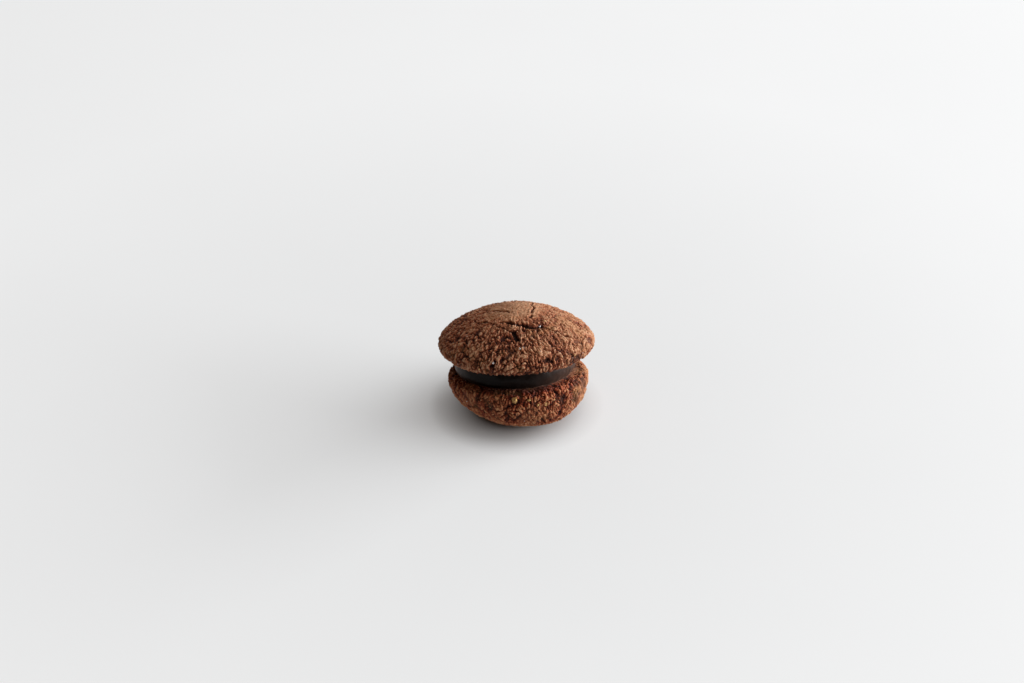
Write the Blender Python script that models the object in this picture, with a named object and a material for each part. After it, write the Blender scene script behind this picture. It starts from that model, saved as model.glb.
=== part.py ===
"""A baci di dama: two craggy chocolate biscuits held together by a disc of dark chocolate.

Metres, +Z up, with the side that is seen first towards -Y. The pair leans back, as it came to rest
on the rounded underside of its lower biscuit. The origin lies on the surface that it stands on,
below the middle of its bounds. Each biscuit is shaped the way it was baked, dome up on its flat
face, and the lower one is then turned over.
"""

import math
from dataclasses import dataclass

import bmesh
import bpy
import numpy as np
from mathutils import Matrix, Vector, noise

MM = 0.001

# Driving sizes
LEAN_BACK = math.radians(13.2)  # of the pair's axis from upright, away from the side seen first
LEAN_LEFT = math.radians(1.4)  # and towards -X
FILLING_RADIUS = 17.5 * MM
FILLING_THICKNESS = 4.8 * MM
FILLING_BULGE = 0.8 * MM  # of its side wall, where the biscuits squeezed it out
TOUCH_GAP = 0.3 * MM  # between the filling and each flat face
RESTING_DEPTH = 0.6 * MM  # how much of the rounded underside is flattened where it stands
RESTING_SMOOTH = 7.5 * MM  # the crags fade out this near to the point that it stands on

# Spread of the mesh over a biscuit
MESH_EDGE = 1.04 * MM  # of the triangles on the crust
FACE_EDGE = 3.5 * MM  # and on the flat face, which has no relief
PROFILE_STEPS = 400
GATHER_REACH = 2.6 * MM  # vertices this near to a main crack are drawn towards it
GATHER_PULL = 0.6  # by this share of the way, at the crack itself

# Relief of the crust, in millimetres
SWELL_SPACING, SWELL_HEIGHT = 10.0, 0.3  # broad unevenness of a ball rolled by hand
KNOB_SPACING, KNOB_HEIGHT = 3.5, 1.15  # crumbly knobs of dough with creases between them
KNOB_SETTLE = 0.3  # of their height, by which they are sunk so that the biscuit keeps its size
SPLIT_SPACING, SPLIT_DEPTH, SPLIT_WIDTH = 7.5, 0.6, 1.0  # plates that the crust split into
DRAWN_OUT = 0.6  # knobs and plates are longer down the sides, by one part in this
WANDER_SPACING, WANDER = 2.6, 0.8  # how far a crack strays from its route
WANDER_SEED = 1  # of the directions that it strays in
SMOOTH_TOP, ROUGH_SIDE = 0.2, 0.5  # reach of the smooth top, and where the full roughness begins
TOP_SHARE = 0.4  # of the knobs' height, left on the smooth top
LIP_HEIGHT = 0.3  # of the crust that a main crack lifted beside it, as a share of its depth


@dataclass
class Crack:
    """A main crack. Its route is points (bearing in degrees from +X, reach), where reach runs from
    0 at the top of the dome to 1 at the widest line. Half width and depth are in millimetres."""

    half_width: float
    depth: float
    route: tuple


@dataclass
class BiscuitForm:
    """A biscuit as baked: a dome on a rounded rim on a flat face. Sizes are in metres."""

    radius: float  # at the widest line
    dome_height: float  # from the widest line to the top
    rim_depth: float  # from the widest line to the flat face
    face_radius: float
    fullness: float  # 2 is an elliptical dome, and less is more pointed
    off_centre: float  # of the whole biscuit along X, on the filling
    top_shift: tuple  # of the top of the dome, to one side of the middle
    outline: tuple  # (bulges round the rim, share of the radius, bearing of one bulge in degrees)
    seed: tuple  # where its own dough texture is read
    cracks: tuple = ()


UPPER = BiscuitForm(
    radius=22.6 * MM,
    dome_height=10.5 * MM,
    rim_depth=3.2 * MM,
    face_radius=19.7 * MM,
    fullness=1.6,
    off_centre=0.5 * MM,
    top_shift=(0.4 * MM, 0.0),
    outline=((3, 0.008, -5), (5, 0.004, 10)),
    seed=(31.0, 77.0, 19.0),
    cracks=(
        Crack(0.7, 1.2, ((-116, 0.37), (-89, 0.39), (-70, 0.44), (-61, 0.48), (-52, 0.47))),
        Crack(0.45, 0.8, ((-61, 0.48), (-54, 0.30), (-38, 0.22), (2, 0.19), (55, 0.31))),
        Crack(0.5, 0.8, ((176, 0.42), (180, 0.34), (-166, 0.22), (-146, 0.17), (-111, 0.16))),
        Crack(0.4, 0.6, ((-52, 0.47), (-47, 0.53), (-38, 0.66), (-31, 0.78))),
        Crack(0.4, 0.6, ((-173, 0.54), (-150, 0.46), (-127, 0.43), (-110, 0.46), (-91, 0.54))),
        Crack(1.1, 1.1, ((-91, 0.54), (-88, 0.60), (-89, 0.67))),
        Crack(0.5, 0.7, ((-3, 0.75), (-2, 0.80), (-1, 0.87))),
    ),
)
LOWER = BiscuitForm(
    radius=20.5 * MM,
    dome_height=12.6 * MM,
    rim_depth=2.1 * MM,
    face_radius=18.4 * MM,
    fullness=2.0,
    off_centre=0.8 * MM,
    top_shift=(3.6 * MM, 4.0 * MM),
    outline=((3, 0.008, 5), (5, 0.004, 0)),
    seed=(413.0, 126.0, 274.0),
)


def clear_scene():
    for obj in list(bpy.data.objects):
        bpy.data.objects.remove(obj)


def smooth_step(low, high, value):
    """0 below low, 1 above high, and an even ease between them. low may be above high."""
    t = min(1.0, max(0.0, (value - low) / (high - low)))
    return t * t * (3 - 2 * t)


# --- the smooth form of a biscuit -------------------------------------------------------------


def side_profile(form):
    """(reach, radius, height) along the side, from the top of the dome to the middle of the face,
    and the length in metres of one unit of reach. Reach is 1 at the widest line."""
    turn = np.linspace(0, math.pi / 2, PROFILE_STEPS)
    power = 2 / form.fullness
    dome_r = form.radius * np.sin(turn) ** power
    dome_z = form.rim_depth + form.dome_height * np.cos(turn) ** power
    rim_r = form.face_radius + (form.radius - form.face_radius) * np.cos(turn[1:])
    rim_z = form.rim_depth * (1 - np.sin(turn[1:]))
    face_r = np.linspace(form.face_radius, 0, PROFILE_STEPS)[1:]
    r = np.concatenate([dome_r, rim_r, face_r])
    z = np.concatenate([dome_z, rim_z, np.zeros(len(face_r))])
    along = np.concatenate([[0], np.cumsum(np.hypot(np.diff(r), np.diff(z)))])
    unit = along[PROFILE_STEPS - 1]
    return along / unit, r, z, unit


def face_reach(profile):
    """The reach at which the rounded rim meets the flat face."""
    return float(profile[0][2 * PROFILE_STEPS - 2])


def surface_point(form, profile, bearing, reach):
    """The point of the smooth form at a bearing in radians and a reach."""
    along, r, z, _ = profile
    radius, height = np.interp(reach, along, r), np.interp(reach, along, z)
    uneven = sum(
        share * math.cos(count * (bearing - math.radians(at))) for count, share, at in form.outline
    )
    rise = max(0.0, height - form.rim_depth) / form.dome_height
    shift = Vector((*form.top_shift, 0)) * rise * rise
    radius *= 1 + uneven
    return Vector((radius * math.cos(bearing), radius * math.sin(bearing), height)) + shift


# --- the crags on it --------------------------------------------------------------------------


def dough_position(point, form):
    """Where a point reads the dough's texture, in millimetres, drawn out down the sides."""
    return Vector((point.x, point.y, point.z * DRAWN_OUT)) / MM + Vector(form.seed)


def wandering(position):
    """How far a crack strays at a dough position, in millimetres."""
    return noise.noise_vector(position / WANDER_SPACING) * WANDER


def split_distance(position):
    """From a position to the border between the cells of a random network, in cells."""
    _, centres = noise.voronoi(position)
    apart = centres[1] - centres[0]
    return ((centres[0] + centres[1]) / 2 - position).dot(apart) / max(apart.length, 1e-6)


def knob_height(position):
    """Rounded knobs of uneven height with creases between them, from about 0 to 1."""
    distances, centres = noise.voronoi(position)
    rounding = 1 - smooth_step(0.0, 0.75, distances[0])
    crease = smooth_step(0.0, 0.35, distances[1] - distances[0])
    return (0.6 + 0.4 * noise.noise(centres[0] * 1.7)) * rounding * crease


def crust_relief(position, reach):
    """Height of the broken crust at a dough position, in millimetres."""
    rough = TOP_SHARE + (1 - TOP_SHARE) * smooth_step(SMOOTH_TOP, ROUGH_SIDE, reach)
    strayed = position + wandering(position)
    swell = SWELL_HEIGHT * noise.noise(position / SWELL_SPACING)
    knobs = KNOB_HEIGHT * rough * (knob_height(strayed / KNOB_SPACING) - KNOB_SETTLE)
    open_here = smooth_step(-0.1, 0.3, noise.noise(position / SPLIT_SPACING))
    away = split_distance(strayed / SPLIT_SPACING) * SPLIT_SPACING
    split = SPLIT_DEPTH * open_here * (1 - smooth_step(0, SPLIT_WIDTH, away))
    return swell + knobs - split


def nearest_on_route(point, route):
    """The nearest point to a point on a line through the route's points."""
    nearest = route[0]
    for start, end in zip(route[:-1], route[1:]):
        run = end - start
        share = min(1.0, max(0.0, (point - start).dot(run) / run.length_squared))
        on_run = start + run * share
        if (point - on_run).length < (point - nearest).length:
            nearest = on_run
    return nearest


def crack_lines(form, profile):
    """(crack, its route as points of the smooth form) for each main crack."""
    return [
        (crack, [surface_point(form, profile, math.radians(at), reach) for at, reach in crack.route])
        for crack in form.cracks
    ]


def gathered(point, form, lines):
    """The point, drawn towards the nearest main crack if it is near, so that the mesh is finer there."""
    strayed = point + wandering(dough_position(point, form)) * MM
    offsets = [nearest_on_route(strayed, route) - strayed for _, route in lines]
    nearest = min(offsets, key=lambda offset: offset.length, default=Vector((math.inf, 0, 0)))
    if nearest.length > GATHER_REACH:
        return point
    return point + nearest * GATHER_PULL * (1 - nearest.length / GATHER_REACH)


def crack_relief(point, position, lines):
    """Height of the main cracks and their lifted lips at a point, in millimetres."""
    strayed = point + wandering(position) * MM
    cut, lip = 0.0, 0.0
    for crack, route in lines:
        away = (nearest_on_route(strayed, route) - strayed).length / MM / crack.half_width
        cut = max(cut, crack.depth * (1 - smooth_step(0.25, 1.3, away)))
        lip = max(lip, crack.depth * smooth_step(1.0, 1.8, away) * (1 - smooth_step(1.8, 4.0, away)))
    return LIP_HEIGHT * lip - cut


# --- meshes -----------------------------------------------------------------------------------


def ring_plan(profile):
    """(reach, number of points) of each ring between the top of the dome and the middle of the face,
    so that the triangles between the rings are nearly equilateral."""
    along, r, _, unit = profile
    rings = []
    reach = 0.0
    while True:
        edge = MESH_EDGE if reach < face_reach(profile) else FACE_EDGE
        reach += edge * math.sqrt(3) / 2 / unit
        if reach > along[-1] - 0.6 * FACE_EDGE / unit:
            return rings
        around = 2 * math.pi * float(np.interp(reach, along, r))
        rings.append((reach, max(6, round(around / edge))))


def stitch(shape, above, below):
    """Faces between two rings of vertices that may differ in number. A ring of one is a pole."""
    above_steps, below_steps = (len(ring) if len(ring) > 1 else 0 for ring in (above, below))
    i, j = 0, 0
    while i < above_steps or j < below_steps:
        here, there = above[i % len(above)], below[j % len(below)]
        if (i + 1) * below_steps <= (j + 1) * above_steps:
            i += 1
            shape.faces.new((here, there, above[i % len(above)]))
        else:
            j += 1
            shape.faces.new((here, there, below[j % len(below)]))


def biscuit_mesh(name, form, resting_point=None):
    """A biscuit with its crags, face down at z = 0. Round the resting point it stays smooth."""
    profile = side_profile(form)
    lines = crack_lines(form, profile)
    shape = bmesh.new()
    reaches = {}

    def add_vertex(bearing, reach):
        point = gathered(surface_point(form, profile, bearing, reach), form, lines)
        vertex = shape.verts.new(point)
        reaches[vertex] = reach
        return vertex

    rings = [[add_vertex(0.0, 0.0)]]
    for number, (reach, count) in enumerate(ring_plan(profile)):
        turn = 2 * math.pi / count
        rings.append([add_vertex((i + 0.5 * (number % 2)) * turn, reach) for i in range(count)])
    rings.append([add_vertex(0.0, float(profile[0][-1]))])
    for above, below in zip(rings[:-1], rings[1:]):
        stitch(shape, above, below)
    shape.normal_update()

    last = face_reach(profile)
    moves = []
    for vertex in shape.verts:
        position = dough_position(vertex.co, form)
        height = crust_relief(position, reaches[vertex]) + crack_relief(vertex.co, position, lines)
        height *= smooth_step(last, 0.5 + last / 2, reaches[vertex])
        if resting_point is not None:
            away = (vertex.co - resting_point).length
            height *= smooth_step(0.6 * RESTING_SMOOTH, RESTING_SMOOTH, away)
        moves.append(vertex.normal * height * MM)
    for vertex, move in zip(shape.verts, moves):
        vertex.co += move
    mesh = bpy.data.meshes.new(name)
    shape.to_mesh(mesh)
    shape.free()
    mesh.shade_smooth()
    return mesh


def filling_mesh(name):
    """The disc of chocolate, its side wall squeezed out into a bulge, centred on the origin."""
    around, up_the_wall = 64, 6
    shape = bmesh.new()
    rings = []
    for step in range(up_the_wall + 1):
        turn = math.pi * (step / up_the_wall - 0.5)
        height = FILLING_THICKNESS / 2 * math.sin(turn)
        ring = []
        for segment in range(around):
            bearing = 2 * math.pi * segment / around
            uneven = 0.012 * math.cos(2 * bearing + 0.6) + 0.008 * math.cos(5 * bearing)
            radius = FILLING_RADIUS * (1 + uneven) - FILLING_BULGE * (1 - math.cos(turn))
            ring.append(shape.verts.new((radius * math.cos(bearing), radius * math.sin(bearing), height)))
        rings.append(ring)
    for below, above in zip(rings[:-1], rings[1:]):
        for i in range(around):
            j = (i + 1) % around
            shape.faces.new((below[i], below[j], above[j], above[i]))
    shape.faces.new(rings[-1])
    shape.faces.new(rings[0][::-1])
    mesh = bpy.data.meshes.new(name)
    shape.to_mesh(mesh)
    shape.free()
    mesh.shade_smooth()
    mesh.set_sharp_from_angle(angle=math.radians(50))
    return mesh


def flatten_below(obj, depth):
    """Cuts a flat off the object where it stands, square to the world's Z, depth above its lowest point."""
    lowest = min((obj.matrix_world @ v.co).z for v in obj.data.vertices)
    to_local = obj.matrix_world.inverted()
    on_plane = to_local @ Vector((0, 0, lowest + depth))
    down = (to_local.to_3x3() @ Vector((0, 0, -1))).normalized()
    shape = bmesh.new()
    shape.from_mesh(obj.data)
    everything = shape.verts[:] + shape.edges[:] + shape.faces[:]
    cut = bmesh.ops.bisect_plane(
        shape, geom=everything, plane_co=on_plane, plane_no=down, clear_outer=True, dist=1e-7
    )
    rim = [e for e in cut["geom_cut"] if isinstance(e, bmesh.types.BMEdge)]
    flat = bmesh.ops.contextual_create(shape, geom=rim)["faces"]
    bmesh.ops.recalc_face_normals(shape, faces=shape.faces[:])
    for face in flat:
        face.smooth = False
    shape.to_mesh(obj.data)
    shape.free()


def food_material(name, colour, roughness):
    material = bpy.data.materials.new(name)
    material.use_nodes = True
    shader = material.node_tree.nodes["Principled BSDF"]
    shader.inputs["Base Color"].default_value = (*colour, 1)
    shader.inputs["Roughness"].default_value = roughness
    shader.inputs["Metallic"].default_value = 0
    return material


def add_piece(name, mesh, material, axis, place, turned_over=False):
    """An object on the pair's axis, at a place from the middle of the filling."""
    piece = bpy.data.objects.new(name, mesh)
    mesh.materials.append(material)
    bpy.context.scene.collection.objects.link(piece)
    piece.parent = axis
    piece.location = place
    piece.rotation_euler = (math.pi if turned_over else 0, 0, 0)
    return piece


def resting_point_on(form, place, lean):
    """The point of the smooth lower biscuit that is lowest once it is turned over and leans, in the
    biscuit's own frame."""
    profile = side_profile(form)
    to_world = lean.to_matrix().to_4x4() @ Matrix.Translation(place) @ Matrix.Rotation(math.pi, 4, "X")
    points = [
        surface_point(form, profile, math.radians(bearing), reach)
        for bearing in range(0, 360, 3)
        for reach in np.linspace(0, 1, 80)
    ]
    return min(points, key=lambda point: (to_world @ point).z)


def stand_on_origin(axis, pieces):
    """Moves the pair so that it stands on z = 0 with its bounds centred over the origin."""
    bpy.context.view_layer.update()
    corners = np.array([piece.matrix_world @ v.co for piece in pieces for v in piece.data.vertices])
    low, high = corners.min(axis=0), corners.max(axis=0)
    axis.location -= Vector(((low[0] + high[0]) / 2, (low[1] + high[1]) / 2, low[2]))


def main():
    clear_scene()
    noise.seed_set(WANDER_SEED)
    axis = bpy.data.objects.new("pair_axis", None)
    bpy.context.scene.collection.objects.link(axis)
    axis.rotation_euler = (-LEAN_BACK, -LEAN_LEFT, 0)

    crust = food_material("chocolate_biscuit", (0.19, 0.085, 0.045), 0.85)
    chocolate = food_material("dark_chocolate", (0.012, 0.007, 0.006), 0.35)
    face_height = FILLING_THICKNESS / 2 + TOUCH_GAP
    above = Vector((UPPER.off_centre, 0, face_height))
    below = Vector((LOWER.off_centre, 0, -face_height))
    resting_point = resting_point_on(LOWER, below, axis.rotation_euler)

    upper = add_piece("upper_biscuit", biscuit_mesh("upper_biscuit", UPPER), crust, axis, above)
    filling = add_piece("filling", filling_mesh("filling"), chocolate, axis, Vector())
    lower_mesh = biscuit_mesh("lower_biscuit", LOWER, resting_point)
    lower = add_piece("lower_biscuit", lower_mesh, crust, axis, below, turned_over=True)
    bpy.context.view_layer.update()
    flatten_below(lower, RESTING_DEPTH)
    stand_on_origin(axis, [upper, filling, lower])


main()
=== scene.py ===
"""The looks of a baci di dama: two craggy chocolate biscuits joined flat to flat by dark chocolate.

Metres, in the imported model's frame: +Z up, with the side that is seen first towards -Y. Each
biscuit gets a crust that is shaped as it was baked, dome up on its flat face, by the sizes of its
solid. It has the solid's cracks and splits at finer sizes and a quarter of the height of its knobs.
Over them lie the flakes, folds, crumbs and pits that are too fine for the solid. The crust then goes
onto the pair's leaning axis, and the lower one is turned over.
"""

import math
from dataclasses import dataclass

import bmesh
import bpy
import numpy as np
from mathutils import Euler, Matrix, Vector, noise


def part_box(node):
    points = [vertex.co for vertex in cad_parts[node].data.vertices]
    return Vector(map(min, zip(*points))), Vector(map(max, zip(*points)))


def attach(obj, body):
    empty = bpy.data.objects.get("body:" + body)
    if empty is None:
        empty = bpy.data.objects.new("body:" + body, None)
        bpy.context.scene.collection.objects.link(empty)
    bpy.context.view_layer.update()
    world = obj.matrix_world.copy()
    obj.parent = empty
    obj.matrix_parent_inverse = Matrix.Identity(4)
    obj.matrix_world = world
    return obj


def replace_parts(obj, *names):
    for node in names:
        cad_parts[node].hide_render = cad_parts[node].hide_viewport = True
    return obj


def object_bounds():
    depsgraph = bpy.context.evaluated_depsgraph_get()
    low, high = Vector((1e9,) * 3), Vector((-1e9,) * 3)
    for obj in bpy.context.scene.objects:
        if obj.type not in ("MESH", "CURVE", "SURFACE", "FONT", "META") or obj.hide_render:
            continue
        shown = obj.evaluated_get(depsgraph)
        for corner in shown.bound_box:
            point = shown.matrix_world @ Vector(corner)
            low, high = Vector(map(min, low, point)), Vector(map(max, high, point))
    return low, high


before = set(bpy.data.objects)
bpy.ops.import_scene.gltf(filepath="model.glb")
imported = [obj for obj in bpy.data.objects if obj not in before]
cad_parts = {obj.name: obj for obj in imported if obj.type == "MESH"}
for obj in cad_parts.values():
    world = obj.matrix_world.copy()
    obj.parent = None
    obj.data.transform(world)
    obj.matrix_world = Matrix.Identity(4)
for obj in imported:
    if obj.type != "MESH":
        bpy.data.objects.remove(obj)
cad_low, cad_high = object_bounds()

MM = 0.001

# --- sizes that the crusts share with the solids ------------------------------------------------

LEAN_BACK = math.radians(13.2)  # of the pair's axis from upright, away from the side seen first
LEAN_LEFT = math.radians(1.4)  # and towards -X
FILLING_RADIUS = 17.5 * MM
FILLING_THICKNESS = 4.8 * MM
FILLING_BULGE = 0.8 * MM  # of its side wall, where the biscuits squeezed it out
TOUCH_GAP = 0.3 * MM  # left between the solids of the filling and each biscuit
SOLID_SEGMENTS, SOLID_RINGS = 64, 6  # of the solid filling's wall
RESTING_SMOOTH = 7.5 * MM  # the crags fade out this near to the point that it stands on
PROFILE_STEPS = 400

SWELL_SPACING, SWELL_HEIGHT = 10.0, 0.3  # broad unevenness of a ball rolled by hand
KNOB_SPACING, KNOB_HEIGHT = 3.5, 1.15  # crumbly knobs of dough with creases between them
KNOB_SETTLE = 0.3  # of their height, by which they are sunk so that the biscuit keeps its size
SPLIT_SPACING = 7.5  # plates that the crust split into
DRAWN_OUT = 0.6  # the texture's height is read at this share, which draws it out down the sides
WANDER_SPACING, WANDER = 2.6, 0.8  # how far a crack strays from its route
WANDER_SEED = 1  # of the directions that it strays in
SMOOTH_TOP, ROUGH_SIDE = 0.2, 0.5  # reach of the smooth top, and where the full roughness begins
TOP_SHARE = 0.4  # of the knobs' height, left on the smooth top

# --- the finer crust, in millimetres ------------------------------------------------------------

CRUST_EDGE = 0.19 * MM  # of the triangles on the crust
FACE_EDGE = 0.9 * MM  # and on the flat face, which is hidden on the filling
FINE_ONTO_FACE = 2.2 * MM  # how far in from the rim the face has the crust's fine triangles
FADE_ONTO_FACE = 2.0 * MM  # and where the finer crust has faded out
KNOB_SHARE = 0.25  # of the solid's knobs: the finer crust takes the place of the rest
SPLIT_DEPTH, SPLIT_WIDTH = 0.4, 0.7  # shallower and narrower than in the solid
SPLITS_ON_TOP = 0.25  # of their depth, left on the smooth top
LIP_HEIGHT = 0.12  # of the crust that a main crack lifted beside it, a share of the crack's depth
RAGGED_SPACING, RAGGED = 0.9, 0.3  # how a main crack's edges crumbled
FLAKE_WIDTH, FLAKE_LENGTH = 1.3, 2.4  # ragged flakes that run down the sides
FLAKE_LIFT, FLAKE_TILT, FLAKE_GAP = 0.1, 0.5, 0.45  # how they stand up and lean, and gaps' depth
CRUMB_SPACING = 0.65  # single crumbs of dough
CRUMB_LIFT, CRUMB_TILT, CRUMB_GAP = 0.05, 0.3, 0.1  # the same three, for the crumbs
# folds that the crust tore along as it shrank: (width, length, height between them, depth)
FOLDS = ((1.8, 4.4, 0.65, 0.65), (0.95, 2.2, 0.5, 0.5))
MOST_LIFT = 0.3  # nothing stands up further than this
GRAIN_SPACING, GRAIN_HEIGHT = 0.45, 0.07  # ground nuts and sugar in the dough
PIT_SPACING, PIT_RADIUS, PIT_DEPTH = 2.2, 0.42, 0.7  # holes where a crumb broke out
WRINKLE_SPACING, WRINKLE_LENGTH, WRINKLE_HEIGHT = 0.8, 4.5, 0.16  # of the skin, along X
SKIN_PATCH = 6.0  # spacing of the places where the dried skin stayed whole
SKIN_AND_HIGHLIGHT_ON_TOP = 0.3  # how pale the smooth top is coloured, partly a painted highlight where light falls on it
# shares of the lift and of the gaps that are left where the skin stayed whole
FOLDS_ON_SKIN, CRUMBS_ON_SKIN, GAPS_ON_SKIN, CRUMB_GAPS_ON_SKIN = 0.2, 0.4, 0.25, 0.35
CREASE_DEPTH = 0.58  # a crease this deep shows the darker dough inside, and painted shade
CRACK_DEPTH, DARKEST_DEPTH = 0.5, 1.3  # where a crack starts to be darker still, and is darkest: painted shade deep in it
CREASE_DARKNESS = 0.8  # of a crease, where the deepest crack has 1
PAINTED_SHADE_HEIGHT = 1.2  # up the rim from the face, painted shade where the other biscuit overhangs the dough
# how dark that painted shade is
PAINTED_SHADE_DARKNESS = 0.7

# --- the filling's wall -------------------------------------------------------------------------

WALL_SEGMENTS, WALL_RINGS = 420, 28
WALL_RIPPLE = 0.22 * MM
PAINTED_SHEEN_BEARING = -5  # in degrees, of the lit end where a painted sheen lightens the wall
PAINTED_SHEEN_NEAR, PAINTED_SHEEN_FAR = 25, 75  # and how far round from it the painted sheen is full, and gone

# --- grains at their places in the photo: (bearing in degrees, reach, size in millimetres) ------

UPPER_SUGAR = ((-106.2, 0.957, 1.0), (-54.0, 0.455, 0.8), (-85.0, 0.772, 1.0), (-83.0, 0.758, 0.6))
LOWER_NUTS = (
    (92.0, 1.009, 2.6),
    (80.0, 1.0, 1.5),
    (66.0, 0.926, 1.3),
    (73.0, 0.93, 1.0),
    (36.5, 0.964, 1.1),
)
GRAIN_SEED = 11  # of the grains' shapes, and of where the rest of them lie

# --- floor, light and camera, in metres ---------------------------------------------------------

# (name, height and bearing in degrees, width, length, power in watts)
WINDOWS = (
    ("low_window", 13, 11, 3.2, 0.9, 141.4),
    ("high_window", 60, 2, 2.0, 2.8, 54.54),
)
WINDOW_DISTANCE = 2.5
WINDOW_COLOUR = "#FCFEFF"
ROOM_COLOUR, ROOM_STRENGTH = "#F4CFAC", 0.08  # of the warm walls
FLOOR_WIDTH = 6.0
VIEW_HEIGHT = math.radians(33.4)  # of the camera above the object's own level
VIEW_DISTANCE = 0.75
FOCAL_PIXELS = 2580.0
PICTURE_WIDTH, PICTURE_HEIGHT = 1024, 683
MIDDLE_IN_PICTURE = (514.8, 359.6)  # where the middle of the filling falls


@dataclass
class Crack:
    """A main crack. Its route is points (bearing in degrees from +X, reach), where reach runs from
    0 at the top of the dome to 1 at the widest line. Half width and depth are in millimetres."""

    half_width: float
    depth: float
    route: tuple


@dataclass
class BiscuitForm:
    """A biscuit as baked: a dome on a rounded rim on a flat face. Sizes are in metres."""

    radius: float  # at the widest line
    dome_height: float  # from the widest line to the top
    rim_depth: float  # from the widest line to the flat face
    face_radius: float
    fullness: float  # 2 is an elliptical dome, and less is more pointed
    off_centre: float  # of the whole biscuit along X, on the filling
    top_shift: tuple  # of the top of the dome, to one side of the middle
    outline: tuple  # (bulges round the rim, share of the radius, bearing of one bulge in degrees)
    seed: tuple  # where its own dough texture is read
    # the skin patches are paler, and on the lit side that is partly a painted highlight
    skins: tuple = ()  # (bearing in degrees, reach, radius in mm, share) of patches of whole skin
    cracks: tuple = ()


UPPER = BiscuitForm(
    radius=22.6 * MM,
    dome_height=10.5 * MM,
    rim_depth=3.2 * MM,
    face_radius=19.7 * MM,
    fullness=1.6,
    off_centre=0.5 * MM,
    top_shift=(0.4 * MM, 0.0),
    outline=((3, 0.008, -5), (5, 0.004, 10)),
    seed=(31.0, 77.0, 19.0),
    # skin patches on the lit right side, whose paler colour is partly a painted highlight
    skins=((2, 0.97, 4.0, 0.6), (-14, 0.62, 4.5, 0.6), (15, 0.7, 4.0, 0.5), (-30, 0.8, 10.0, 0.3)),
    cracks=(
        Crack(0.6, 1.2, ((-116, 0.37), (-89, 0.39), (-70, 0.44), (-61, 0.48), (-52, 0.47))),
        Crack(0.33, 0.75, ((-61, 0.48), (-54, 0.30), (-38, 0.22), (2, 0.19), (55, 0.31))),
        Crack(0.45, 0.8, ((176, 0.42), (180, 0.34), (-166, 0.22), (-146, 0.17), (-111, 0.16))),
        Crack(0.42, 0.8, ((-52, 0.47), (-47, 0.53), (-38, 0.66), (-31, 0.78))),
        Crack(0.4, 0.6, ((-173, 0.54), (-150, 0.46), (-127, 0.43), (-110, 0.46), (-91, 0.54))),
        Crack(0.85, 1.1, ((-93, 0.54), (-89, 0.59), (-87, 0.63))),
        Crack(0.5, 0.7, ((-3, 0.75), (-2, 0.80), (-1, 0.87))),
    ),
)
LOWER = BiscuitForm(
    radius=20.5 * MM,
    dome_height=12.6 * MM,
    rim_depth=2.1 * MM,
    face_radius=18.4 * MM,
    fullness=2.0,
    off_centre=0.8 * MM,
    top_shift=(3.6 * MM, 4.0 * MM),
    outline=((3, 0.008, 5), (5, 0.004, 0)),
    seed=(413.0, 126.0, 274.0),
    # skin patches on the lit right side, whose paler colour is partly a painted highlight
    skins=((4, 0.97, 5.0, 0.6), (22, 0.93, 5.0, 0.6)),
)


def smooth_step(low, high, value):
    """0 below low, 1 above high, and an even ease between them. low may be above high."""
    t = min(1.0, max(0.0, (value - low) / (high - low)))
    return t * t * (3 - 2 * t)


def stray(position, spacing, most):
    """How far a place is pushed aside there, so that no edge of the dough runs straight."""
    return noise.noise_vector(position / spacing) * most


def own_value(centre, pick):
    """A number from -1 to 1 that a cell of a random network has to itself, one for each pick."""
    return noise.noise(centre * pick)


# --- the smooth form of a biscuit ---------------------------------------------------------------


def side_profile(form):
    """(reach, radius, height) along the side, from the top of the dome to the middle of the face,
    and the length in metres of one unit of reach. Reach is 1 at the widest line."""
    turn = np.linspace(0, math.pi / 2, PROFILE_STEPS)
    power = 2 / form.fullness
    dome_r = form.radius * np.sin(turn) ** power
    dome_z = form.rim_depth + form.dome_height * np.cos(turn) ** power
    rim_r = form.face_radius + (form.radius - form.face_radius) * np.cos(turn[1:])
    rim_z = form.rim_depth * (1 - np.sin(turn[1:]))
    face_r = np.linspace(form.face_radius, 0, PROFILE_STEPS)[1:]
    r = np.concatenate([dome_r, rim_r, face_r])
    z = np.concatenate([dome_z, rim_z, np.zeros(len(face_r))])
    along = np.concatenate([[0], np.cumsum(np.hypot(np.diff(r), np.diff(z)))])
    unit = along[PROFILE_STEPS - 1]
    return along / unit, r, z, unit


def face_reach(profile):
    """The reach at which the rounded rim meets the flat face."""
    return float(profile[0][2 * PROFILE_STEPS - 2])


def surface_point(form, profile, bearing, reach):
    """The point of the smooth form at a bearing in radians and a reach."""
    along, r, z, _ = profile
    radius, height = np.interp(reach, along, r), np.interp(reach, along, z)
    uneven = sum(
        share * math.cos(count * (bearing - math.radians(at))) for count, share, at in form.outline
    )
    rise = max(0.0, height - form.rim_depth) / form.dome_height
    shift = Vector((*form.top_shift, 0)) * rise * rise
    radius *= 1 + uneven
    return Vector((radius * math.cos(bearing), radius * math.sin(bearing), height)) + shift


# --- the crags that the solid has too, where they are coarser -----------------------------------


def dough_position(point, form):
    """Where a point reads the dough's texture, in millimetres, drawn out down the sides."""
    return Vector((point.x, point.y, point.z * DRAWN_OUT)) / MM + Vector(form.seed)


def wandering(position):
    """How far a crack strays at a dough position, in millimetres."""
    return stray(position, WANDER_SPACING, WANDER)


def split_distance(position):
    """From a position to the border between the cells of a random network, in cells."""
    _, centres = noise.voronoi(position)
    apart = centres[1] - centres[0]
    return ((centres[0] + centres[1]) / 2 - position).dot(apart) / max(apart.length, 1e-6)


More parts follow.
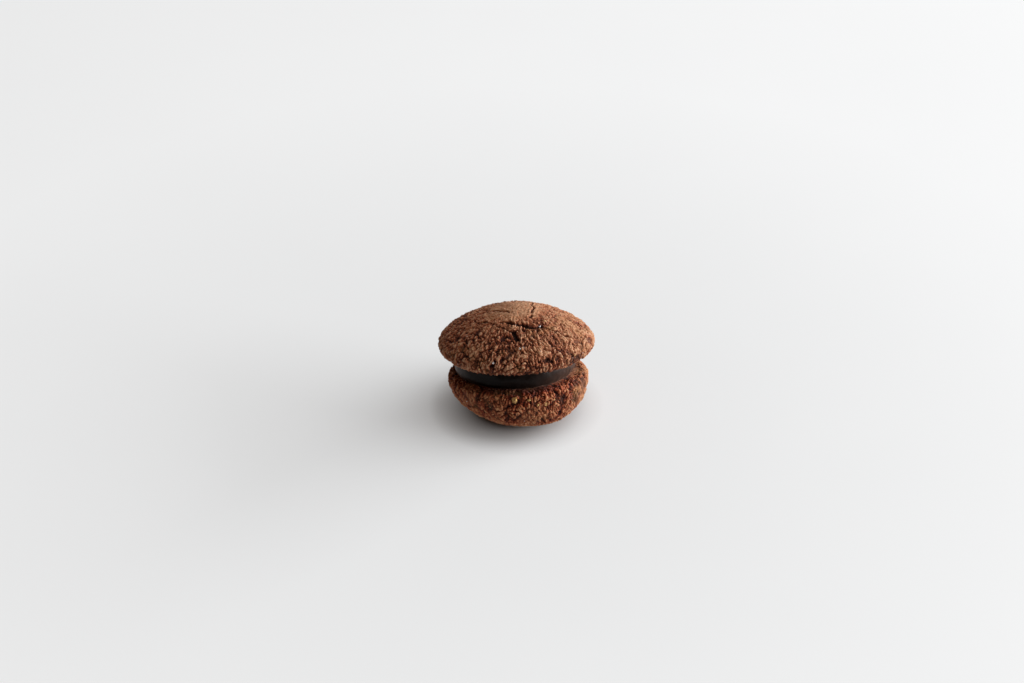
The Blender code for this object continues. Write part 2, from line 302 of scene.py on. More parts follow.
def knob_height(position):
    """Rounded knobs of uneven height with creases between them, from about 0 to 1."""
    distances, centres = noise.voronoi(position)
    rounding = 1 - smooth_step(0.0, 0.75, distances[0])
    crease = smooth_step(0.0, 0.35, distances[1] - distances[0])
    return (0.6 + 0.4 * own_value(centres[0], 1.7)) * rounding * crease


def side_share(reach):
    """How rough the crust is at a reach: 0 on the smooth top, and 1 on the sides."""
    return smooth_step(SMOOTH_TOP, ROUGH_SIDE, reach)


def knob_relief(position, reach):
    """Height of the broad unevenness and the knobs at a dough position, in millimetres."""
    rough = TOP_SHARE + (1 - TOP_SHARE) * side_share(reach)
    strayed = position + wandering(position)
    swell = SWELL_HEIGHT * noise.noise(position / SWELL_SPACING)
    knobs = KNOB_HEIGHT * rough * (knob_height(strayed / KNOB_SPACING) - KNOB_SETTLE)
    return swell + KNOB_SHARE * knobs


def split_depth(position):
    """Depth of the splits between plates of crust at a dough position, in millimetres."""
    strayed = position + wandering(position)
    open_here = smooth_step(-0.1, 0.3, noise.noise(position / SPLIT_SPACING))
    away = split_distance(strayed / SPLIT_SPACING) * SPLIT_SPACING
    return SPLIT_DEPTH * open_here * (1 - smooth_step(0, SPLIT_WIDTH, away))


def nearest_on_route(point, route):
    """The nearest point to a point on a line through the route's points."""
    nearest = route[0]
    for start, end in zip(route[:-1], route[1:]):
        run = end - start
        share = min(1.0, max(0.0, (point - start).dot(run) / run.length_squared))
        on_run = start + run * share
        if (point - on_run).length < (point - nearest).length:
            nearest = on_run
    return nearest


def crack_lines(form, profile):
    """(crack, its route as points of the smooth form) for each main crack."""
    lines = []
    for crack in form.cracks:
        turns = [(math.radians(bearing), reach) for bearing, reach in crack.route]
        lines.append((crack, [surface_point(form, profile, *turn) for turn in turns]))
    return lines


def crack_relief(point, position, lines):
    """Height of the main cracks and their lifted lips at a point, in millimetres."""
    ragged = wandering(position) + stray(position, RAGGED_SPACING, RAGGED)
    strayed = point + ragged * MM
    uneven = 1 + 0.9 * noise.noise(position / 1.9)
    cut, lip = 0.0, 0.0
    for crack, route in lines:
        away = (nearest_on_route(strayed, route) - strayed).length / MM / crack.half_width / uneven
        cut = max(cut, crack.depth * (1 - smooth_step(0.25, 1.3, away)))
        beside = smooth_step(1.0, 1.8, away) * (1 - smooth_step(1.8, 4.0, away))
        lip = max(lip, crack.depth * beside)
    return LIP_HEIGHT * lip - cut


# --- the finer crust between them ---------------------------------------------------------------


def broken_bits(at, lift, tilt, gap_width):
    """(height, share of the gap) at a place among broken bits, one to a cell. Each bit stands up
    and leans in its own way, so that its faces catch the light differently from its neighbours'."""
    distances, centres = noise.voronoi(at)
    lean = noise.noise_vector(centres[0] * 2.3)
    rise = own_value(centres[0], 3.1) * 2
    gap = 1 - smooth_step(0.0, gap_width, distances[1] - distances[0])
    return lift * rise + tilt * (at - centres[0]).dot(lean), gap


def sleeve_position(form, profile, bearing, reach, width, length):
    """A place on a sleeve round the biscuit, in cells of a width round it and a length down it."""
    around = form.radius / MM / width
    down = reach * profile[3] / MM / length
    place = Vector((around * math.cos(bearing), around * math.sin(bearing), down))
    return place + Vector(form.seed)


def flake_relief(form, profile, bearing, reach, position):
    """(height, gap) of the ragged flakes that run down the side, in millimetres."""
    at = sleeve_position(form, profile, bearing, reach, FLAKE_WIDTH, FLAKE_LENGTH)
    height, gap = broken_bits(at + stray(position, 1.6, 0.6), FLAKE_LIFT, FLAKE_TILT, 0.28)
    torn = smooth_step(-0.35, 0.15, noise.noise(position / 3.3 + Vector((7, 0, 0))))
    return height, FLAKE_GAP * gap * (0.3 + 0.7 * torn)


def fold_relief(form, profile, bearing, reach, position):
    """(height, gap) of the folds that the crust tore along, in millimetres. They are the lines
    where a smooth noise is 0, so they wind, join and end as tears do."""
    height, gap = 0.0, 0.0
    for width, length, rise, depth in FOLDS:
        at = sleeve_position(form, profile, bearing, reach, width, length)
        away = abs(noise.noise(at + stray(position, 2.0, 0.7)))
        height += rise * (min(away, 0.3) - 0.15)
        gap = max(gap, depth * (1 - smooth_step(0.0, 0.12, away)))
    return height, gap


def crumb_relief(position):
    """(height, gap) of the single crumbs and the grains in them, in millimetres."""
    strayed = position + stray(position, 0.7, 0.25)
    height, gap = broken_bits(strayed / CRUMB_SPACING, CRUMB_LIFT, CRUMB_TILT, 0.32)
    at = position / GRAIN_SPACING
    grains = noise.noise(at) + 0.5 * noise.noise(at * 2.1)
    return height + GRAIN_HEIGHT * grains, CRUMB_GAP * gap


def pit_depth(position):
    """Depth of the small holes where a crumb broke out, in millimetres. Some cells hold none."""
    strayed = position + stray(position, 1.1, 0.3)
    distances, centres = noise.voronoi(strayed / PIT_SPACING)
    if own_value(centres[0], 5.3) < 0.02:
        return 0.0
    width = PIT_RADIUS * (1 + 0.8 * own_value(centres[0], 7.7))
    return PIT_DEPTH * (1 - smooth_step(0.45, 1.15, distances[0] * PIT_SPACING / width))


def wrinkle_height(point):
    """Fine wrinkles of the skin that dried over the dough, in millimetres."""
    at = Vector((point.x / WRINKLE_LENGTH, point.y / WRINKLE_SPACING, 0)) / MM
    at += stray(point / MM, 5, 1.2)
    return WRINKLE_HEIGHT * (1 - 2 * abs(noise.noise(at)))


def skin_share(point, position, skins):
    """How whole the dried skin is at a point of the sides, from 0 where the crust broke up to 1."""
    whole = 0.3 * smooth_step(0.0, 0.5, noise.noise(position / SKIN_PATCH + Vector((0, 0, 5))))
    ragged = 1 + 0.9 * noise.noise(position / 2.2)
    for middle, radius, share in skins:
        away = (point - middle).length / MM / radius
        whole = max(whole, share * smooth_step(1.1, 0.5, away * ragged))
    return whole


# The darker dough inside the breaks, and painted shade in the creases and cracks
def dough_and_shade_darkness(depth):
    """How dark the dough is at a depth in millimetres: 0 on the ridges, and 1 deep in a crack."""
    crease = smooth_step(0, CREASE_DEPTH, depth)
    crack = smooth_step(CRACK_DEPTH, DARKEST_DEPTH, depth)
    return CREASE_DARKNESS * crease + (1 - CREASE_DARKNESS) * crack


def painted_shade_beside_filling(point, position, bearing):
    """Painted shade on the rim beside the chocolate, under the other biscuit. The ends get none."""
    height = PAINTED_SHADE_HEIGHT * (1 + 0.6 * noise.noise(position / 1.5))
    along_the_side = smooth_step(0.7, 0.95, abs(math.sin(bearing)))
    return PAINTED_SHADE_DARKNESS * along_the_side * smooth_step(height, 0.1, point.z / MM)


def left_on_skin(share, smooth):
    """How strong a relief is: 1 where the crust broke up, down to its share on smooth skin."""
    return share + (1 - share) * (1 - smooth)


def fine_relief(form, profile, point, position, bearing, reach, smooth):
    """(lift, gap) of the finer crust at a point, in millimetres."""
    flake_lift, flake_gap = flake_relief(form, profile, bearing, reach, position)
    fold_lift, fold_gap = fold_relief(form, profile, bearing, reach, position)
    crumb_lift, crumb_gap = crumb_relief(position)
    lift = left_on_skin(FOLDS_ON_SKIN, smooth) * (flake_lift + fold_lift)
    lift += left_on_skin(CRUMBS_ON_SKIN, smooth) * crumb_lift + smooth * wrinkle_height(point)
    open_share = left_on_skin(GAPS_ON_SKIN, smooth)
    gap = open_share * max(flake_gap, fold_gap)
    gap += left_on_skin(CRUMB_GAPS_ON_SKIN, smooth) * crumb_gap
    return min(lift, MOST_LIFT), max(gap, open_share * pit_depth(position))


# --- meshes -------------------------------------------------------------------------------------


def ring_plan(profile):
    """(reach, number of points) of each ring between the top of the dome and the middle of the
    face, so that the triangles between the rings are nearly equilateral."""
    along, r, _, unit = profile
    rings = []
    reach = 0.0
    while True:
        past_face = reach - face_reach(profile)
        edge = CRUST_EDGE if past_face < FINE_ONTO_FACE / unit else FACE_EDGE
        reach += edge * math.sqrt(3) / 2 / unit
        if reach > along[-1] - 0.6 * FACE_EDGE / unit:
            return rings
        around = 2 * math.pi * float(np.interp(reach, along, r))
        rings.append((reach, max(6, round(around / edge))))


def stitched(above, below):
    """Triangles between two rings of point numbers, which may differ in count. A ring of one point
    is a pole."""
    above_steps, below_steps = (len(ring) if len(ring) > 1 else 0 for ring in (above, below))
    i, j = 0, 0
    faces = []
    while i < above_steps or j < below_steps:
        here, there = above[i % len(above)], below[j % len(below)]
        if (i + 1) * below_steps <= (j + 1) * above_steps:
            i += 1
            faces.append((here, there, above[i % len(above)]))
        else:
            j += 1
            faces.append((here, there, below[j % len(below)]))
    return faces


def new_mesh(name, points, faces):
    """A mesh of points in metres and faces of point numbers."""
    mesh = bpy.data.meshes.new(name)
    mesh.from_pydata([tuple(p) for p in points], [], faces)
    mesh.update()
    return mesh


def add_piece(name, mesh, material):
    """An object that rides with the whole, and has the given material."""
    piece = bpy.data.objects.new(name, mesh)
    bpy.context.scene.collection.objects.link(piece)
    mesh.materials.append(material)
    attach(piece, "root")
    return piece


def smooth_crust(name, form, profile):
    """The smooth form of a biscuit as a mesh, with the bearing and reach of each of its points."""
    plan = [(0.0, 1)] + ring_plan(profile) + [(float(profile[0][-1]), 1)]
    places, rings = [], []
    for number, (reach, count) in enumerate(plan):
        turn = 2 * math.pi / count
        rings.append(range(len(places), len(places) + count))
        places += [((i + 0.5 * (number % 2)) * turn, reach) for i in range(count)]
    faces = [face for above, below in zip(rings[:-1], rings[1:]) for face in stitched(above, below)]
    points = [surface_point(form, profile, bearing, reach) for bearing, reach in places]
    return new_mesh(name, points, faces), places


def broken_crust(name, form, resting_point=None):
    """(a biscuit's crust, face down at z = 0, and the bearing and reach of its points). One of its
    attributes says how dark the dough is: the darker dough in its breaks, with painted shade in its
    creases and cracks and on the rim beside the filling. "skin" says how whole the dried skin is,
    and its paler colour is partly a painted highlight on the lit side and top."""
    profile = side_profile(form)
    lines = crack_lines(form, profile)
    skins = [
        (surface_point(form, profile, math.radians(bearing), reach), radius, share)
        for bearing, reach, radius, share in form.skins
    ]
    last = face_reach(profile)
    middle_of_rim = 0.5 + last / 2
    faded = last + FADE_ONTO_FACE / profile[3]
    mesh, places = smooth_crust(name, form, profile)
    normals = [Vector(v.normal) for v in mesh.vertices]
    darker_dough_and_shade_values, skin_and_highlight_shares = np.zeros((2, len(places)), np.float32)
    for i, (vertex, normal, (bearing, reach)) in enumerate(zip(mesh.vertices, normals, places)):
        point = vertex.co.copy()
        position = dough_position(point, form)
        splits = split_depth(position) * (SPLITS_ON_TOP + (1 - SPLITS_ON_TOP) * side_share(reach))
        cut = splits - crack_relief(point, position, lines)
        coarse = knob_relief(position, reach) - cut
        skin = skin_share(point, position, skins)
        smooth = max(skin, 1 - side_share(reach))
        lift, gap = fine_relief(form, profile, point, position, bearing, reach, smooth)
        coarse *= smooth_step(last, middle_of_rim, reach)
        fine = smooth_step(faded, last, reach)
        if resting_point is not None:
            away = (point - resting_point).length
            coarse *= smooth_step(0.6 * RESTING_SMOOTH, RESTING_SMOOTH, away)
        vertex.co = point + normal * (coarse + fine * (lift - gap)) * MM
        # how dark the dough is coloured: darker dough in breaks, and painted shade in creases,
        # cracks and beside the filling
        darker_dough_and_shade_values[i] = max(dough_and_shade_darkness(gap - lift / 2 + cut), painted_shade_beside_filling(point, position, bearing))
        # pale skin colour, partly a painted highlight on the smooth top and lit side
        skin_and_highlight_shares[i] = max(skin, SKIN_AND_HIGHLIGHT_ON_TOP * smooth)
    for label, values in (("darker_dough_and_shade", darker_dough_and_shade_values), ("skin", skin_and_highlight_shares)):
        mesh.attributes.new(label, "FLOAT", "POINT").data.foreach_set("value", values)
    mesh.update()
    mesh.shade_smooth()
    return mesh, places


def filling_radius(bearing, turn):
    """Of the side wall of the disc of chocolate, at a bearing and a turn up the wall in radians."""
    uneven = 0.012 * math.cos(2 * bearing + 0.6) + 0.008 * math.cos(5 * bearing)
    return FILLING_RADIUS * (1 + uneven) - FILLING_BULGE * (1 - math.cos(turn))


def filling_wall(around, up_the_wall, half_height, ripple=0.0):
    """Rings of points up the side wall of the disc, centred on the origin."""
    rings = []
    for step in range(up_the_wall + 1):
        turn = math.pi * (step / up_the_wall - 0.5)
        height = half_height * math.sin(turn)
        ring = []
        for segment in range(around):
            bearing = 2 * math.pi * segment / around
            radius = filling_radius(bearing, turn)
            at = Vector((radius * math.cos(bearing), radius * math.sin(bearing), height * 2)) / MM
            radius += ripple * (noise.noise(at / 4) - 0.6 + 0.3 * noise.noise(at / 1.3))
            ring.append(Vector((radius * math.cos(bearing), radius * math.sin(bearing), height)))
        rings.append(ring)
    return rings


def painted_sheen_on(point):
    """How much painted sheen lies on the filling's wall at a point. It is at the lit end."""
    away = abs(math.degrees(math.atan2(point.y, point.x)) - PAINTED_SHEEN_BEARING)
    return smooth_step(PAINTED_SHEEN_FAR, PAINTED_SHEEN_NEAR, away) * (0.35 + 0.15 * noise.noise(point / MM / 2.5))


def chocolate_disc(name):
    """The filling, which reaches both biscuits. Its wall is rippled a little, as it was squeezed
    out, and one attribute says where a painted sheen browns its lit end."""
    half_height = FILLING_THICKNESS / 2 + TOUCH_GAP
    rings = filling_wall(WALL_SEGMENTS, WALL_RINGS, half_height, ripple=WALL_RIPPLE)
    points = [p for ring in rings for p in ring]
    faces = []
    for number in range(WALL_RINGS):
        for i in range(WALL_SEGMENTS):
            j = (i + 1) % WALL_SEGMENTS
            low, high = number * WALL_SEGMENTS, (number + 1) * WALL_SEGMENTS
            faces.append((low + i, low + j, high + j, high + i))
    for number, facing in ((0, -1), (WALL_RINGS, 1)):
        edge = [number * WALL_SEGMENTS + i for i in range(WALL_SEGMENTS)][::facing]
        middle = len(points)
        points.append(Vector((0, 0, points[edge[0]].z)))
        faces += [(edge[i], edge[(i + 1) % WALL_SEGMENTS], middle) for i in range(WALL_SEGMENTS)]
    mesh = new_mesh(name, points, faces)
    painted_sheen = [painted_sheen_on(p) for p in points]
    mesh.attributes.new("painted_sheen", "FLOAT", "POINT").data.foreach_set("value", painted_sheen)
    mesh.shade_smooth()
    mesh.set_sharp_from_angle(angle=math.radians(50))
    return mesh


# --- the pair's own axis ------------------------------------------------------------------------


def middle_of(points):
    """The middle of the points' box."""
    spread = np.array([tuple(p) for p in points])
    return Vector((spread.min(axis=0) + spread.max(axis=0)) / 2)


def pair_axis():
    """From the pair upright, with the origin in the middle of its filling, to where it stands and
    leans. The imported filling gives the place."""
    lean = Euler((-LEAN_BACK, -LEAN_LEFT, 0)).to_matrix().to_4x4()
    rings = filling_wall(SOLID_SEGMENTS, SOLID_RINGS, FILLING_THICKNESS / 2)
    upright = [p for ring in rings for p in ring]
    place = middle_of(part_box("filling")) - middle_of([lean @ p for p in upright])
    return Matrix.Translation(place) @ lean


def resting_point_on(form, to_pair):
    """The point of the smooth form that is lowest in place, in the biscuit's own frame."""
    profile = side_profile(form)
    points = [
        surface_point(form, profile, math.radians(bearing), reach)
        for bearing in range(0, 360, 3)
        for reach in np.linspace(0, 1, 80)
    ]
    return min(points, key=lambda point: (to_pair @ point).z)


def pressed_in(point, low, high):
    """The nearest point that is inside a box."""
    return Vector([min(max(c, a), b) for c, a, b in zip(point, low, high)])


def held_in(mesh, node):
    """Presses the mesh's points into the box of the solid that it stands for, which also gives the
    flat that the pair stands on."""
    low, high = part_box(node)
    for vertex in mesh.vertices:
        vertex.co = pressed_in(vertex.co, low, high)
    mesh.update()


class Crust:
    """A finished crust in place, and where things lie on it."""

    def __init__(self, node, form, to_pair, resting_point=None):
        self.mesh, places = broken_crust(node + "_crust", form, resting_point)
        self.bearings = np.array([bearing for bearing, _ in places])
        self.reaches = np.array([reach for _, reach in places])
        self.mesh.transform(to_pair)
        held_in(self.mesh, node)

    def spot(self, bearing, reach):
        """(point, outward direction) of the crust at a bearing in degrees and a reach."""
        turn = (self.bearings - math.radians(bearing) + math.pi) % (2 * math.pi) - math.pi
        found = int(np.argmin((turn * self.reaches) ** 2 + (self.reaches - reach) ** 2))
        vertex = self.mesh.vertices[found]
        return vertex.co.copy(), Vector(vertex.normal)


# --- grains on and in the crust -----------------------------------------------------------------


def grain(random, size, corners, flat):
    """Corners of a small irregular grain that is size metres across and flat times as thick."""
    spread = random.normal(size=(corners, 3))
    spread /= np.linalg.norm(spread, axis=1)[:, None]
    spread *= (random.uniform(0.75, 1.0, corners) * size / 2)[:, None]
    return [Vector((x, y, z * flat)) for x, y, z in spread]


def settled(corners, spot, proud):
    """A grain's corners on a spot of the crust, standing proud of it by a share of their size."""
    point, outward = spot
    turned = outward.to_track_quat("Z", "Y").to_matrix()
    thickness = max(c.z for c in corners) - min(c.z for c in corners)
    middle = point + outward * thickness * (proud - 0.5)
    return [pressed_in(turned @ c + middle, cad_low, cad_high) for c in corners]


def grains_mesh(name, grains):
    """One mesh of grains, each given as its corners in place. Its faces are the grains' hulls."""
    shape = bmesh.new()
    for corners in grains:
        hull = bmesh.ops.convex_hull(shape, input=[shape.verts.new(c) for c in corners])
        spare = set(hull["geom_interior"] + hull["geom_unused"])
        spare_corners = [part for part in spare if isinstance(part, bmesh.types.BMVert)]
        bmesh.ops.delete(shape, geom=spare_corners, context="VERTS")
    mesh = bpy.data.meshes.new(name)
    shape.to_mesh(mesh)
    shape.free()
    return mesh


def placed(random, crust, spots, proud, flat, corners):
    """Grains at places of their own on a crust, with their sizes in millimetres."""
    return [
        settled(grain(random, size * MM, corners, flat), crust.spot(bearing, reach), proud)
        for bearing, reach, size in spots
    ]


def scattered(random, crust, count, sizes, reaches, proud=0.45, flat=0.8, corners=12):
    """Grains scattered over a crust, each of a size and at a reach between the two given."""
    grains = []
    for _ in range(count):
        reach = random.uniform(*reaches)
        spot = crust.spot(random.uniform(-180, 180), reach)
        size = random.uniform(*sizes) * MM
        grains.append(settled(grain(random, size, corners, flat), spot, proud))
    return grains


# --- materials ----------------------------------------------------------------------------------


def linear(hex_colour):
    """The linear RGBA of an sRGB hex colour."""
    parts = [int(hex_colour[i : i + 2], 16) / 255 for i in (1, 3, 5)]
    parts = [c / 12.92 if c <= 0.04045 else ((c + 0.055) / 1.055) ** 2.4 for c in parts]
    return (*parts, 1.0)


def new_material(name):
    """(material, its Principled shader, the place on the piece in metres)"""
    material = bpy.data.materials.new(name)
    material.use_nodes = True
    place = material.node_tree.nodes.new("ShaderNodeTexCoord").outputs["Object"]
    return material, material.node_tree.nodes["Principled BSDF"], place


def fill_in(material, node, inputs):
    """Gives a node's inputs, by name or number, a value or the output that is linked to them."""
    for name, value in inputs.items():
        if isinstance(value, bpy.types.NodeSocket):
            material.node_tree.links.new(value, node.inputs[name])
        else:
            node.inputs[name].default_value = value


def add_node(material, kind, inputs, **settings):
    """A node with its settings and links."""
    node = material.node_tree.nodes.new(kind)
    for name, value in settings.items():
        setattr(node, name, value)
    fill_in(material, node, inputs)
    return node


def per_mm(spacing):
    """The scale of a pattern that is read in metres and repeats after spacing millimetres."""
    return 1 / (spacing * MM)


def baked_cocoa_dough(name, ridge, crust, crumb, deep):
    """Short dough with cocoa, baked dry. It is matt and dusty: flour and fat dried to a pale brown
    on the ridges, and the fresh breaks in the creases stayed dark, with painted shade deep in
    creases and cracks. Whole skin is paler, partly a painted highlight on the lit side and top. Each
    biscuit has its own colours, from the ridges of its crust to the deep creases."""
    material, shader, place = new_material(name)
    darker_dough_and_shade = add_node(material, "ShaderNodeAttribute", {}, attribute_name="darker_dough_and_shade").outputs["Fac"]
    patches = add_node(
        material, "ShaderNodeTexNoise", {"Vector": place, "Scale": per_mm(5.0), "Detail": 3.0}
    ).outputs["Fac"]
    grains = add_node(
        material, "ShaderNodeTexNoise", {"Vector": place, "Scale": per_mm(0.5), "Detail": 2.0}
    ).outputs["Fac"]
    uneven = add_node(material, "ShaderNodeMath", {0: grains, 1: -0.5}, operation="ADD").outputs[0]
    depth = add_node(
        material, "ShaderNodeMath", {0: uneven, 1: 0.5, 2: darker_dough_and_shade}, operation="MULTIPLY_ADD"
    ).outputs[0]
    # darker with depth: the darker dough inside the breaks, and painted shade in creases and cracks
    tone = add_node(material, "ShaderNodeValToRGB", {"Fac": depth})
    tone.color_ramp.elements[0].color = linear(ridge)
    tone.color_ramp.elements[1].color = linear("#1C0A05")
    tone.color_ramp.elements.new(0.11).color = linear(crust)
    tone.color_ramp.elements.new(0.34).color = linear(crumb)
    tone.color_ramp.elements.new(0.8).color = linear(deep)
    # The paler skin tone: whole dried skin, and partly a painted highlight on the lit side and top
    skin = add_node(material, "ShaderNodeAttribute", {}, attribute_name="skin").outputs["Fac"]
    skin_and_highlight_tone = add_node(material, "ShaderNodeValToRGB", {"Fac": depth})
    skin_and_highlight_tone.color_ramp.elements[0].color = linear("#A27451")
    skin_and_highlight_tone.color_ramp.elements[1].color = linear("#481F10")
    with_skin_and_highlight = add_node(
        material,
        "ShaderNodeMix",
        {0: skin, 6: tone.outputs["Color"], 7: skin_and_highlight_tone.outputs["Color"]},
        data_type="RGBA",
    ).outputs[2]
    gold_here = add_node(
        material,
        "ShaderNodeMapRange",
        {"Value": patches, "From Min": 0.55, "From Max": 0.75, "To Max": 0.4},
    ).outputs["Result"]
    colour = add_node(
        material,
        "ShaderNodeMix",
        {0: gold_here, 6: with_skin_and_highlight, 7: linear("#976B41")},
        data_type="RGBA",
    ).outputs[2]
    fine_grain = add_node(
        material, "ShaderNodeTexNoise", {"Vector": place, "Scale": per_mm(0.35), "Detail": 4.0}
    ).outputs["Fac"]
    bump = add_node(
        material, "ShaderNodeBump", {"Height": fine_grain, "Distance": 0.12 * MM, "Strength": 0.7}
    ).outputs["Normal"]
    roughness = add_node(
        material, "ShaderNodeMapRange", {"Value": grains, "To Min": 0.45, "To Max": 0.7}
    ).outputs["Result"]
    fill_in(
        material,
        shader,
        {
            "Base Color": colour,
            "Roughness": roughness,
            "Normal": bump,
            "IOR": 1.45,
            "Specular IOR Level": 0.1,
            "Sheen Weight": 0.1,
            "Sheen Roughness": 0.5,
            "Sheen Tint": linear("#EEDCCF"),
        },
    )
    return material


def set_dark_chocolate():
    """Dark chocolate that set between the biscuits, untouched since. It is nearly black, with a
    satin skin that is rippled where it flowed, and a painted sheen turns its lit end a soft brown."""
    material, shader, place = new_material("set_dark_chocolate")
    bloom = add_node(
        material, "ShaderNodeTexNoise", {"Vector": place, "Scale": per_mm(3.5), "Detail": 4.0}
    ).outputs["Fac"]
    tone = add_node(material, "ShaderNodeValToRGB", {"Fac": bloom})
    tone.color_ramp.elements[0].position = 0.35
    tone.color_ramp.elements[0].color = linear("#090403")
    tone.color_ramp.elements[1].position = 0.75
    tone.color_ramp.elements[1].color = linear("#110908")
    painted_sheen = add_node(material, "ShaderNodeAttribute", {}, attribute_name="painted_sheen").outputs["Fac"]
    # painted sheen: a soft brown laid on the lit end of the wall
    with_painted_sheen = add_node(
        material,
        "ShaderNodeMix",
        {0: painted_sheen, 6: tone.outputs["Color"], 7: linear("#4A342B")},
        data_type="RGBA",
    ).outputs[2]
    roughness = add_node(
        material, "ShaderNodeMapRange", {"Value": bloom, "To Min": 0.32, "To Max": 0.5}
    ).outputs["Result"]
    skin = add_node(
        material, "ShaderNodeTexNoise", {"Vector": place, "Scale": per_mm(0.9), "Detail": 3.0}
    ).outputs["Fac"]
    bump = add_node(
        material, "ShaderNodeBump", {"Height": skin, "Distance": 0.06 * MM, "Strength": 0.35}
    ).outputs["Normal"]
    fill_in(
        material,
        shader,
        {
            "Base Color": with_painted_sheen,
            "Roughness": roughness,
            "Normal": bump,
            "IOR": 1.46,
            "Specular IOR Level": 0.1,
            "Sheen Weight": 0.45,
            "Sheen Roughness": 0.4,
            "Sheen Tint": linear("#C49A86"),
        },
    )
    return material


def crystallised_sugar():
    """Grains of sugar that didn't melt in the oven. They are clear crystals whose skin the heat
    frosted, so they show as pale glints."""
    material, shader, place = new_material("crystallised_sugar")
    frost = add_node(
        material, "ShaderNodeTexNoise", {"Vector": place, "Scale": per_mm(0.4), "Detail": 2.0}
    ).outputs["Fac"]
    tone = add_node(material, "ShaderNodeValToRGB", {"Fac": frost})
    tone.color_ramp.elements[0].color = linear("#D8CBC4")
    tone.color_ramp.elements[1].color = linear("#F4EEEA")
    fill_in(
        material,
        shader,
        {
            "Base Color": tone.outputs["Color"],
            "Roughness": 0.25,
            "IOR": 1.54,
            "Transmission Weight": 0.15,
        },
    )
    return material


def chopped_hazelnut():
    """Bits of chopped nut that toasted in the dough. Their cut faces are creamy yellow, and their
    edges brown."""
    material, shader, place = new_material("chopped_hazelnut")
    toast = add_node(
        material, "ShaderNodeTexNoise", {"Vector": place, "Scale": per_mm(0.6), "Detail": 3.0}
    ).outputs["Fac"]
    tone = add_node(material, "ShaderNodeValToRGB", {"Fac": toast})
    tone.color_ramp.elements[0].position = 0.35
    tone.color_ramp.elements[0].color = linear("#7A5030")
    tone.color_ramp.elements[1].position = 0.6
    tone.color_ramp.elements[1].color = linear("#C39B58")
    fill_in(material, shader, {"Base Color": tone.outputs["Color"], "Roughness": 0.6, "IOR": 1.47})
    return material


def matt_card():
    """A sheet of pale matt card to stand on, plain apart from the faint cloud of its pulp. It glows
    a little, a painted light that lifts its shade, fading out near the pair as a painted shadow."""
    material, shader, place = new_material("matt_card")
    cloud = add_node(
        material, "ShaderNodeTexNoise", {"Vector": place, "Scale": per_mm(60.0), "Detail": 2.0}
    ).outputs["Fac"]
    tone = add_node(material, "ShaderNodeValToRGB", {"Fac": cloud})
    tone.color_ramp.elements[0].color = linear("#AEAFB0")
    tone.color_ramp.elements[1].color = linear("#B1B2B3")
    away = add_node(
        material, "ShaderNodeVectorMath", {0: place}, operation="LENGTH"
    ).outputs["Value"]
    share = add_node(  # 1 at 200 mm from the middle of the pair
        material, "ShaderNodeMath", {0: away, 1: per_mm(200.0)}, operation="MULTIPLY"
    ).outputs[0]
    # painted light that glows from the card, fading to a painted shadow near the pair
    painted_light_and_shadow = add_node(material, "ShaderNodeValToRGB", {"Fac": share})
    painted_light_and_shadow.color_ramp.elements[0].position = 0.06
    painted_light_and_shadow.color_ramp.elements[0].color = linear("#000000")
    painted_light_and_shadow.color_ramp.elements[1].color = linear("#ACACAC")
    painted_light_and_shadow.color_ramp.elements.new(0.13).color = linear("#989898")
    fill_in(material, shader, {"Base Color": tone.outputs["Color"], "Roughness": 0.9, "IOR": 1.5})
    fill_in(material, shader, {"Emission Color": painted_light_and_shadow.outputs["Color"], "Emission Strength": 1.0})
    return material


# --- the pieces ---------------------------------------------------------------------------------


def make_pair():
    """Adds the two crusts and the filling between them, each in place of its solid."""
    to_pair = pair_axis()
    face_height = FILLING_THICKNESS / 2 + TOUCH_GAP
    to_upper = to_pair @ Matrix.Translation((UPPER.off_centre, 0, face_height))
    to_lower = to_pair @ Matrix.Translation((LOWER.off_centre, 0, -face_height))
    to_lower = to_lower @ Matrix.Rotation(math.pi, 4, "X")

    dough = baked_cocoa_dough(
        "baked_cocoa_dough", ridge="#A37A5E", crust="#96583B", crumb="#733820", deep="#2E0F08"
    )
    # the lower biscuit's colours are redder than the upper's
    redder = baked_cocoa_dough(
        "redder_baked_dough", ridge="#A4714F", crust="#975232", crumb="#763019", deep="#2E0D06"
    )
    upper = Crust("upper_biscuit", UPPER, to_upper)
    lower = Crust("lower_biscuit", LOWER, to_lower, resting_point_on(LOWER, to_lower))
    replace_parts(add_piece("upper_crust", upper.mesh, dough), "upper_biscuit")
    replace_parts(add_piece("lower_crust", lower.mesh, redder), "lower_biscuit")

    disc = chocolate_disc("chocolate_filling")
    disc.transform(to_pair)
    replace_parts(add_piece("chocolate_filling", disc, set_dark_chocolate()), "filling")
    return upper, lower, dough


def make_grains(upper, lower, dough):
    """Adds the grains of sugar, the bits of nut and the loose crumbs that the two crusts carry."""
    random = np.random.default_rng(GRAIN_SEED)

    sugar = placed(random, upper, UPPER_SUGAR, proud=0.85, flat=1.0, corners=10)
    for crust, reaches in ((upper, (0.4, 1.15)), (lower, (0.4, 1.05))):
        sugar += scattered(random, crust, 40, (0.2, 0.4), reaches)
    add_piece("sugar_grains", grains_mesh("sugar_grains", sugar), crystallised_sugar())

    nuts = placed(random, lower, LOWER_NUTS, proud=0.75, flat=0.6, corners=12)
    for crust, count, reaches in ((upper, 26, (0.3, 1.1)), (lower, 22, (0.3, 1.05))):
        nuts += scattered(random, crust, count, (0.4, 0.9), reaches, proud=0.3, flat=0.5)
    add_piece("nut_bits", grains_mesh("nut_bits", nuts), chopped_hazelnut())

    crumbs = []
    for crust, count, reaches in ((upper, 160, (0.45, 1.3)), (lower, 140, (0.4, 1.2))):
        crumbs += scattered(random, crust, count, (0.25, 0.6), reaches, proud=0.25)
    add_piece("loose_crumbs", grains_mesh("loose_crumbs", crumbs), dough)


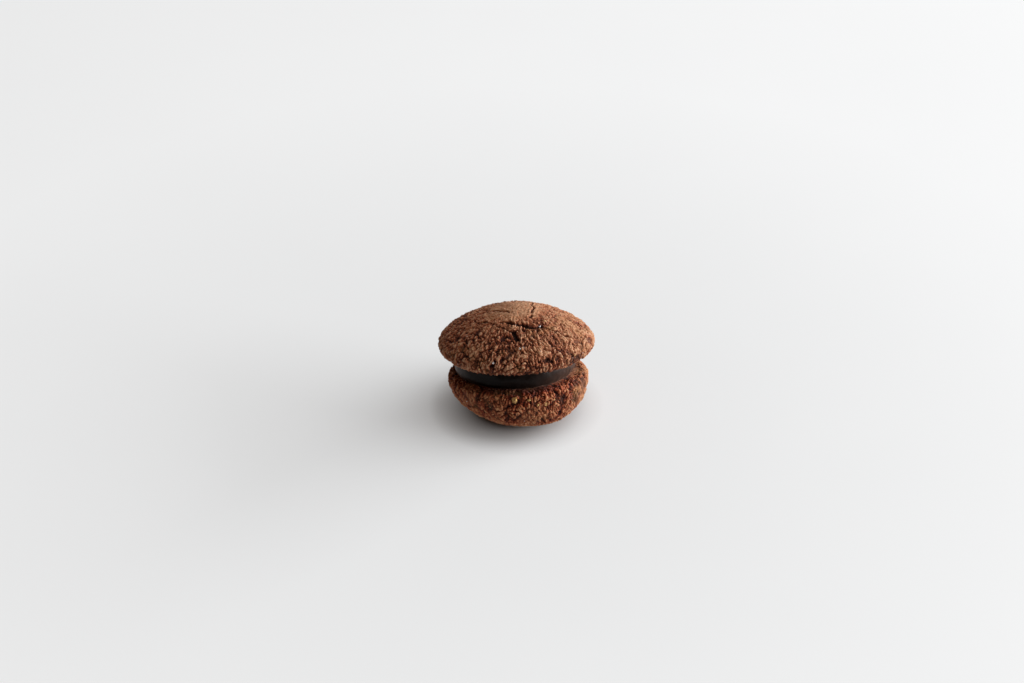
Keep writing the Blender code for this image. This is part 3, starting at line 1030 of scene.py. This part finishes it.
# --- floor, light and camera --------------------------------------------------------------------


def make_floor():
    """A wide plain sheet to stand on."""
    half = FLOOR_WIDTH / 2
    corners = [(-half, -half, 0), (half, -half, 0), (half, half, 0), (-half, half, 0)]
    floor = bpy.data.objects.new("floor", new_mesh("floor", corners, [(0, 1, 2, 3)]))
    bpy.context.scene.collection.objects.link(floor)
    floor.data.materials.append(matt_card())


def make_light():
    """Two large soft windows to the right, one low and one high, and warm walls that fill the
    shade."""
    world = bpy.data.worlds.new("warm_walls")
    bpy.context.scene.world = world
    world.use_nodes = True
    background = world.node_tree.nodes["Background"]
    background.inputs["Color"].default_value = linear(ROOM_COLOUR)
    background.inputs["Strength"].default_value = ROOM_STRENGTH

    for name, height, bearing, width, length, power in WINDOWS:
        light = bpy.data.lights.new(name, "AREA")
        light.shape = "RECTANGLE"
        light.size, light.size_y = width, length
        light.energy = power
        light.color = linear(WINDOW_COLOUR)[:3]
        lamp = bpy.data.objects.new(name, light)
        bpy.context.scene.collection.objects.link(lamp)
        up, round_z = math.radians(height), math.radians(bearing)
        level = math.cos(up)
        towards = Vector((level * math.cos(round_z), level * math.sin(round_z), math.sin(up)))
        lamp.location = towards * WINDOW_DISTANCE
        lamp.rotation_euler = towards.to_track_quat("Z", "Y").to_euler()
    bpy.context.scene.view_settings.view_transform = "Standard"


def make_camera():
    """A long lens that looks down on the pair from the photo's height, framed as the photo is."""
    lens = bpy.data.cameras.new("camera")
    lens.sensor_width = 36.0
    lens.lens = FOCAL_PIXELS / PICTURE_WIDTH * lens.sensor_width
    camera = bpy.data.objects.new("camera", lens)
    bpy.context.scene.collection.objects.link(camera)
    bpy.context.scene.camera = camera
    camera.rotation_euler = (math.pi / 2 - VIEW_HEIGHT, 0, 0)
    ahead = Vector((0, math.cos(VIEW_HEIGHT), -math.sin(VIEW_HEIGHT)))
    above = Vector((0, math.sin(VIEW_HEIGHT), math.cos(VIEW_HEIGHT)))
    to_right = (MIDDLE_IN_PICTURE[0] - PICTURE_WIDTH / 2) / FOCAL_PIXELS * VIEW_DISTANCE
    down = (MIDDLE_IN_PICTURE[1] - PICTURE_HEIGHT / 2) / FOCAL_PIXELS * VIEW_DISTANCE
    middle = middle_of(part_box("filling"))
    camera.location = middle - ahead * VIEW_DISTANCE - Vector((to_right, 0, 0)) + above * down


noise.seed_set(WANDER_SEED)
upper_crust, lower_crust, dough_material = make_pair()
make_grains(upper_crust, lower_crust, dough_material)
make_floor()
make_light()
make_camera()
